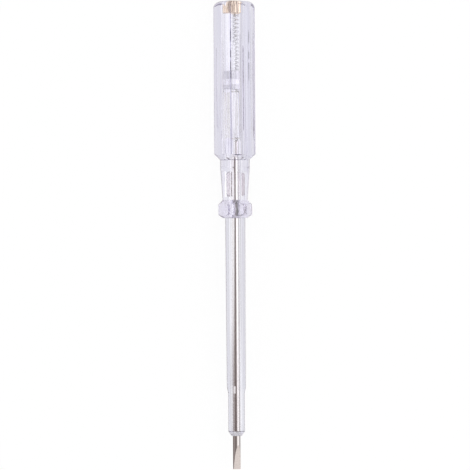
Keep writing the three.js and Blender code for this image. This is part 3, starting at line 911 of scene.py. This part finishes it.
def makeResistorBody():
    start, end = span("resistor_body")
    core, radius = resistor["coreRadius"], resistor["bodyRadius"]
    edge, bend = resistor["coreEdge"], resistor["bodyRound"]
    rearMouth = span("resistor_rear_cap")[1] + edge
    frontMouth = span("resistor_front_cap")[0] - edge
    profile = [(start, 0), (start, core - edge), (start + edge, core), (rearMouth, core)]
    profile += corner(rearMouth, radius - bend, rearMouth + bend, radius, 4)
    profile += corner(frontMouth, radius - bend, frontMouth - bend, radius, 4)[::-1]
    profile += [(frontMouth, core), (end - edge, core), (end, core - edge), (end, 0)]
    return turned("resistor_rod", profile)


caps = (("resistor_cap_rear", "resistor_rear_cap", 1), ("resistor_cap_front", "resistor_front_cap", -1))
for name, node, opens in caps:
    dress(makeCap(name, node, opens), node, "tool", tinnedCap)
dress(makeResistorBody(), "resistor_body", "tool", lacquer)
print("resistor made")


# Neon lamp: sealed glass tube, two electrodes and two leads

lamp = {
    "radius": 2.7, "wall": 0.45, "seal": 0.22, "endRound": 0.9, "dome": 0.5, "spacing": 1.6,
    "lead": 0.2, "leadBend": 0.5, "leadStep": 0.2, "straightRows": 6, "bendRows": 8,
    "electrode": 0.45, "electrodeRound": 0.15,
}


def makeGlass():
    start, end = span("lamp_glass")
    shell = turned("lamp_tube", roundedRod(start, end, lamp["radius"], lamp["endRound"], 8), sharpDegrees=40)
    inner = lamp["radius"] - lamp["wall"]
    low, high, dome = start + lamp["seal"], end - lamp["seal"], lamp["dome"]
    room = corner(low, 0, low + dome, inner, 16) + corner(high, 0, high - dome, inner, 16)[::-1]
    hollow = turned("lamp_room", room[::-1], sharpDegrees=40)
    points, faces = [], []
    for part in (shell, hollow):
        base = len(points)
        points += [tuple(v.co) for v in part.data.vertices]
        faces += [tuple(base + i for i in f.vertices) for f in part.data.polygons]
        bpy.data.objects.remove(part)
    return meshFrom("lamp_tube_and_room", points, faces, sharpDegrees=40, placed=True)


def makeLead(name, node, outward):
    # out of the seal, then bent flat across the end of the glass
    start, end = span(node)
    inside, outside = (start, end) if outward > 0 else (end, start)
    side = -outward * lamp["spacing"] / 2
    wire, bend = lamp["lead"], lamp["leadBend"]
    face = outside - outward * wire
    straight, bent = lamp["straightRows"], lamp["bendRows"]
    path = [(inside + (face - outward * bend - inside) * i / straight, side, 0) for i in range(straight + 1)]
    for i in range(1, bent + 1):
        a = i / bent * math.pi / 2
        path.append((face - outward * bend * (1 - math.sin(a)), side + outward * bend * (1 - math.cos(a)), 0))
    path += [(face, side + outward * (bend + lamp["leadStep"] * i), 0) for i in range(1, straight + 1)]
    return sweep(name, path, wire, 12)


def makeElectrode(name, node, side):
    profile = roundedRod(*span(node), lamp["electrode"], lamp["electrodeRound"], 4)
    return turned(name, profile, sharpDegrees=40, count=32, offsetY=side * lamp["spacing"] / 2)


dress(makeGlass(), "lamp_glass", "tool", lampGlass)
leads = (("lead_rear", "lamp_rear_lead", -1), ("lead_front", "lamp_front_lead", 1))
electrodes = (("electrode_rear", "lamp_rear_electrode", 1), ("electrode_front", "lamp_front_electrode", -1))
for make, pieces in ((makeLead, leads), (makeElectrode, electrodes)):
    for name, node, side in pieces:
        dress(make(name, node, side), node, "tool", nickel)
print("lamp made")


# Floor, world, light and camera

studio = {
    # the floor and the light are in metres
    "floorSize": 4.0, "floorColor": (0.96, 0.96, 0.96), "floorRoughness": 0.9, "floorWhite": 0.92,
    "floorLevel": 1.5, "ambient": 0.95, "softLevel": 1.7, "boxLevel": 1.4,
    "lampPower": 2.2, "lampSize": 1.2, "lampAt": (0.1, 0.45, 1.1),
    # what the plastic shows of the floor, by millimetres to the right of the tool
    "through": (
        (-60, 1.4), (-27, 1.4), (-22.5, (0.78, 0.77, 0.79)), (-20, (0.78, 0.77, 0.79)), (-17, 1.06),
        (-10.5, 1.06), (-8.5, 1.25), (-5, 1.25), (-3.5, (0.96, 0.96, 0.97)), (10, 1.04), (15, (1.0, 1.0, 1.01)),
        (20, (0.88, 0.87, 0.89)), (34, (0.78, 0.77, 0.79)), (46, (0.82, 0.82, 0.84)), (60, (0.82, 0.82, 0.84)),
    ),
    # the same beside the blade, and where along the tool one changes into the other
    "nearBlade": (
        (-60, (0.5, 0.44, 0.44)), (-22, (0.5, 0.44, 0.44)), (-17, (0.98, 0.98, 1.0)), (-8, (0.98, 0.98, 1.0)),
        (-7, (0.6, 0.55, 0.55)), (-6, (0.6, 0.55, 0.55)), (-5, (0.98, 0.98, 1.0)), (11, (1.0, 1.0, 1.02)),
        (15, (0.95, 0.95, 0.98)), (28, (0.95, 0.95, 0.98)), (34, (1.2, 1.2, 1.22)), (60, (1.2, 1.2, 1.22)),
    ),
    "bladeStretch": (35, 60),
    # what bare metal shows of the floor
    "mirrored": (
        (-60, (0.42, 0.36, 0.35)), (-3, (0.30, 0.25, 0.24)), (4, (0.78, 0.76, 0.76)), (60, (0.78, 0.76, 0.76)),
    ),
    # what the plastic and the metal in it show of the room, by degrees to the right of straight up
    "room": (
        (-90, 1.4), (-60, 1.4), (-50, (1.2, 1.17, 1.17)), (-42, (0.42, 0.37, 0.36)), (-34, (0.30, 0.255, 0.245)),
        (4, (0.30, 0.255, 0.245)), (16, 1.25), (50, 1.25), (62, (0.80, 0.79, 0.81)), (90, (0.80, 0.79, 0.81)),
    ),
    # its left part is squeezed where the rays lean to the rear end, and spread where they lean to the tip
    "widen": (-0.02, 0.06, 1.35, 0.6),
    # the same for rays that lean far along the tool
    "lengthways": (
        (-90, (0.85, 0.85, 0.88)), (-60, 1.4), (-40, 1.4), (-28, (0.5, 0.47, 0.47)), (-8, (0.5, 0.47, 0.47)),
        (2, 1.3), (50, 1.3), (62, (0.75, 0.74, 0.77)), (90, (0.75, 0.74, 0.77)),
    ),
    "steep": (0.16, 0.3),
    # what bare metal shows of the room
    "bare": (
        (-90, (0.50, 0.46, 0.45)), (-66, (0.50, 0.46, 0.45)), (-56, (0.26, 0.22, 0.21)), (-36, (0.26, 0.22, 0.21)),
        (-30, (0.36, 0.32, 0.31)), (2, (0.36, 0.32, 0.31)), (22, 1.2), (50, 1.2), (62, (0.80, 0.79, 0.81)),
        (90, (0.80, 0.79, 0.81)),
    ),
}


def addBareMask(tree, path):
    # 1 for a mirror ray that has passed no plastic on its way
    entered = addMath(tree, "GREATER_THAN", path["Transmission Depth"], 0.5)
    return addMath(tree, "SUBTRACT", path["Is Glossy Ray"], entered)


def addSoftMask(tree, path):
    # 1 for a ray that lights a dull surface, also through plastic
    return addMath(tree, "GREATER_THAN", path["Diffuse Depth"], 0.5)


def addSharpMask(tree, path):
    # 1 for a ray that comes from a mirror or through plastic
    return addMath(tree, "MAXIMUM", path["Is Transmission Ray"], path["Is Glossy Ray"])


def makeFloor():
    half = studio["floorSize"] / 2
    corners = [(-half, -half, 0), (half, -half, 0), (half, half, 0), (-half, half, 0)]
    floor = meshFrom("floor", corners, [(0, 1, 2, 3)], placed=True)
    plain = {"Base Color": studio["floorColor"], "Roughness": studio["floorRoughness"]}
    material, tree, shader = newMaterial("Pale floor", plain)
    where = addCoordinates(tree)
    path = tree.nodes.new("ShaderNodeLightPath").outputs
    level = studio["floorLevel"]
    through, nearBlade, mirrored = [
        addRamp(tree, where["Y"], mm, studio[name], level) for name in ("through", "nearBlade", "mirrored")
    ]
    seen = addMix(tree, addStretch(tree, where["X"], studio["bladeStretch"]), through, nearBlade)
    seen = addMix(tree, addBareMask(tree, path), seen, mirrored)
    seen = addMix(tree, addSoftMask(tree, path), seen, (studio["softLevel"] / level,) * 3)
    seen = addMix(tree, path["Is Camera Ray"], seen, (1 / level,) * 3)
    glow = addNode(tree, "ShaderNodeEmission", {"Color": seen, "Strength": level})
    # the camera sees white with a little of the shadow left in it
    white = addMath(tree, "MULTIPLY", path["Is Camera Ray"], studio["floorWhite"])
    mixSurface(tree, addMath(tree, "ADD", white, addSharpMask(tree, path)), shader, glow)
    floor.data.materials.append(material)


def makeWorld():
    world = bpy.data.worlds.new("Studio")
    bpy.context.scene.world = world
    world.use_nodes = True
    tree = world.node_tree
    tree.nodes.clear()
    where = addCoordinates(tree, "Generated")
    angle = addMath(tree, "ARCTAN2", where["Y"], where["Z"], clamp=False)
    left = addMath(tree, "MINIMUM", angle, 0, clamp=False)
    left = addMath(tree, "MULTIPLY", left, addRange(tree, where["X"], *studio["widen"]), clamp=False)
    right = addMath(tree, "MAXIMUM", angle, 0, clamp=False)
    stretched = addMath(tree, "ADD", left, right, clamp=False)
    level = studio["boxLevel"]
    room, lengthways, bare = [
        addRamp(tree, source, degree, studio[name], level)
        for name, source in (("room", stretched), ("lengthways", stretched), ("bare", angle))
    ]
    lean = addMath(tree, "ABSOLUTE", where["X"], 0, clamp=False)
    path = tree.nodes.new("ShaderNodeLightPath").outputs
    room = addMix(tree, addBareMask(tree, path), room, bare)
    room = addMix(tree, addRange(tree, lean, *studio["steep"]), room, lengthways)
    room = addMix(tree, addSoftMask(tree, path), room, (studio["softLevel"] / level,) * 3)
    # the camera sees plain white, and dull surfaces that no plastic covers see a little less
    sharp = addSharpMask(tree, path)
    plain = addRange(tree, path["Is Camera Ray"], 0, 1, studio["ambient"], 1)
    background = addNode(tree, "ShaderNodeBackground", {
        "Color": addMix(tree, sharp, (1, 1, 1), room), "Strength": addRange(tree, sharp, 0, 1, plain, level),
    })
    addNode(tree, "ShaderNodeOutputWorld", {"Surface": background.outputs["Background"]})


def makeLight():
    data = bpy.data.lights.new("Soft light", "AREA")
    data.shape = "DISK"
    data.size = studio["lampSize"]
    data.energy = studio["lampPower"]
    light = bpy.data.objects.new("Soft light", data)
    light.location = studio["lampAt"]
    light.rotation_euler = (-light.location).to_track_quat("-Z", "Y").to_euler()
    bpy.context.scene.collection.objects.link(light)


camera = {
    "side": 12, "roll": 0.364, "distance": 1200, "frameWidth": 190.8, "aim": 95.0, "aside": -0.18, "sensor": 36,
    "clip": (0.01, 50),
}


def makeCamera():
    # looks square on to the tool, a little from the left of its upper flat, with the rear end up
    side, roll = camera["side"] * degree, camera["roll"] * degree
    along = Vector((1, 0, 0))
    back = Vector((0, -math.sin(side), math.cos(side)))
    level = Vector((0, math.cos(side), math.sin(side)))
    right = level * math.cos(roll) + along * math.sin(roll)
    up = level * math.sin(roll) - along * math.cos(roll)
    data = bpy.data.cameras.new("Camera")
    data.sensor_width = camera["sensor"]
    data.lens = camera["sensor"] * camera["distance"] / camera["frameWidth"]
    data.clip_start, data.clip_end = camera["clip"]
    viewer = bpy.data.objects.new("Camera", data)
    aim = Vector(place([(camera["aim"], 0, 0)])[0]) + right * camera["aside"] * mm
    where = aim + back * camera["distance"] * mm
    turn = Matrix((right, up, back)).transposed().to_4x4()
    viewer.matrix_world = Matrix.Translation(where) @ turn
    bpy.context.scene.collection.objects.link(viewer)
    bpy.context.scene.camera = viewer


makeFloor()
makeWorld()
makeLight()
makeCamera()
bpy.context.scene.view_settings.view_transform = "Standard"
print("studio made")
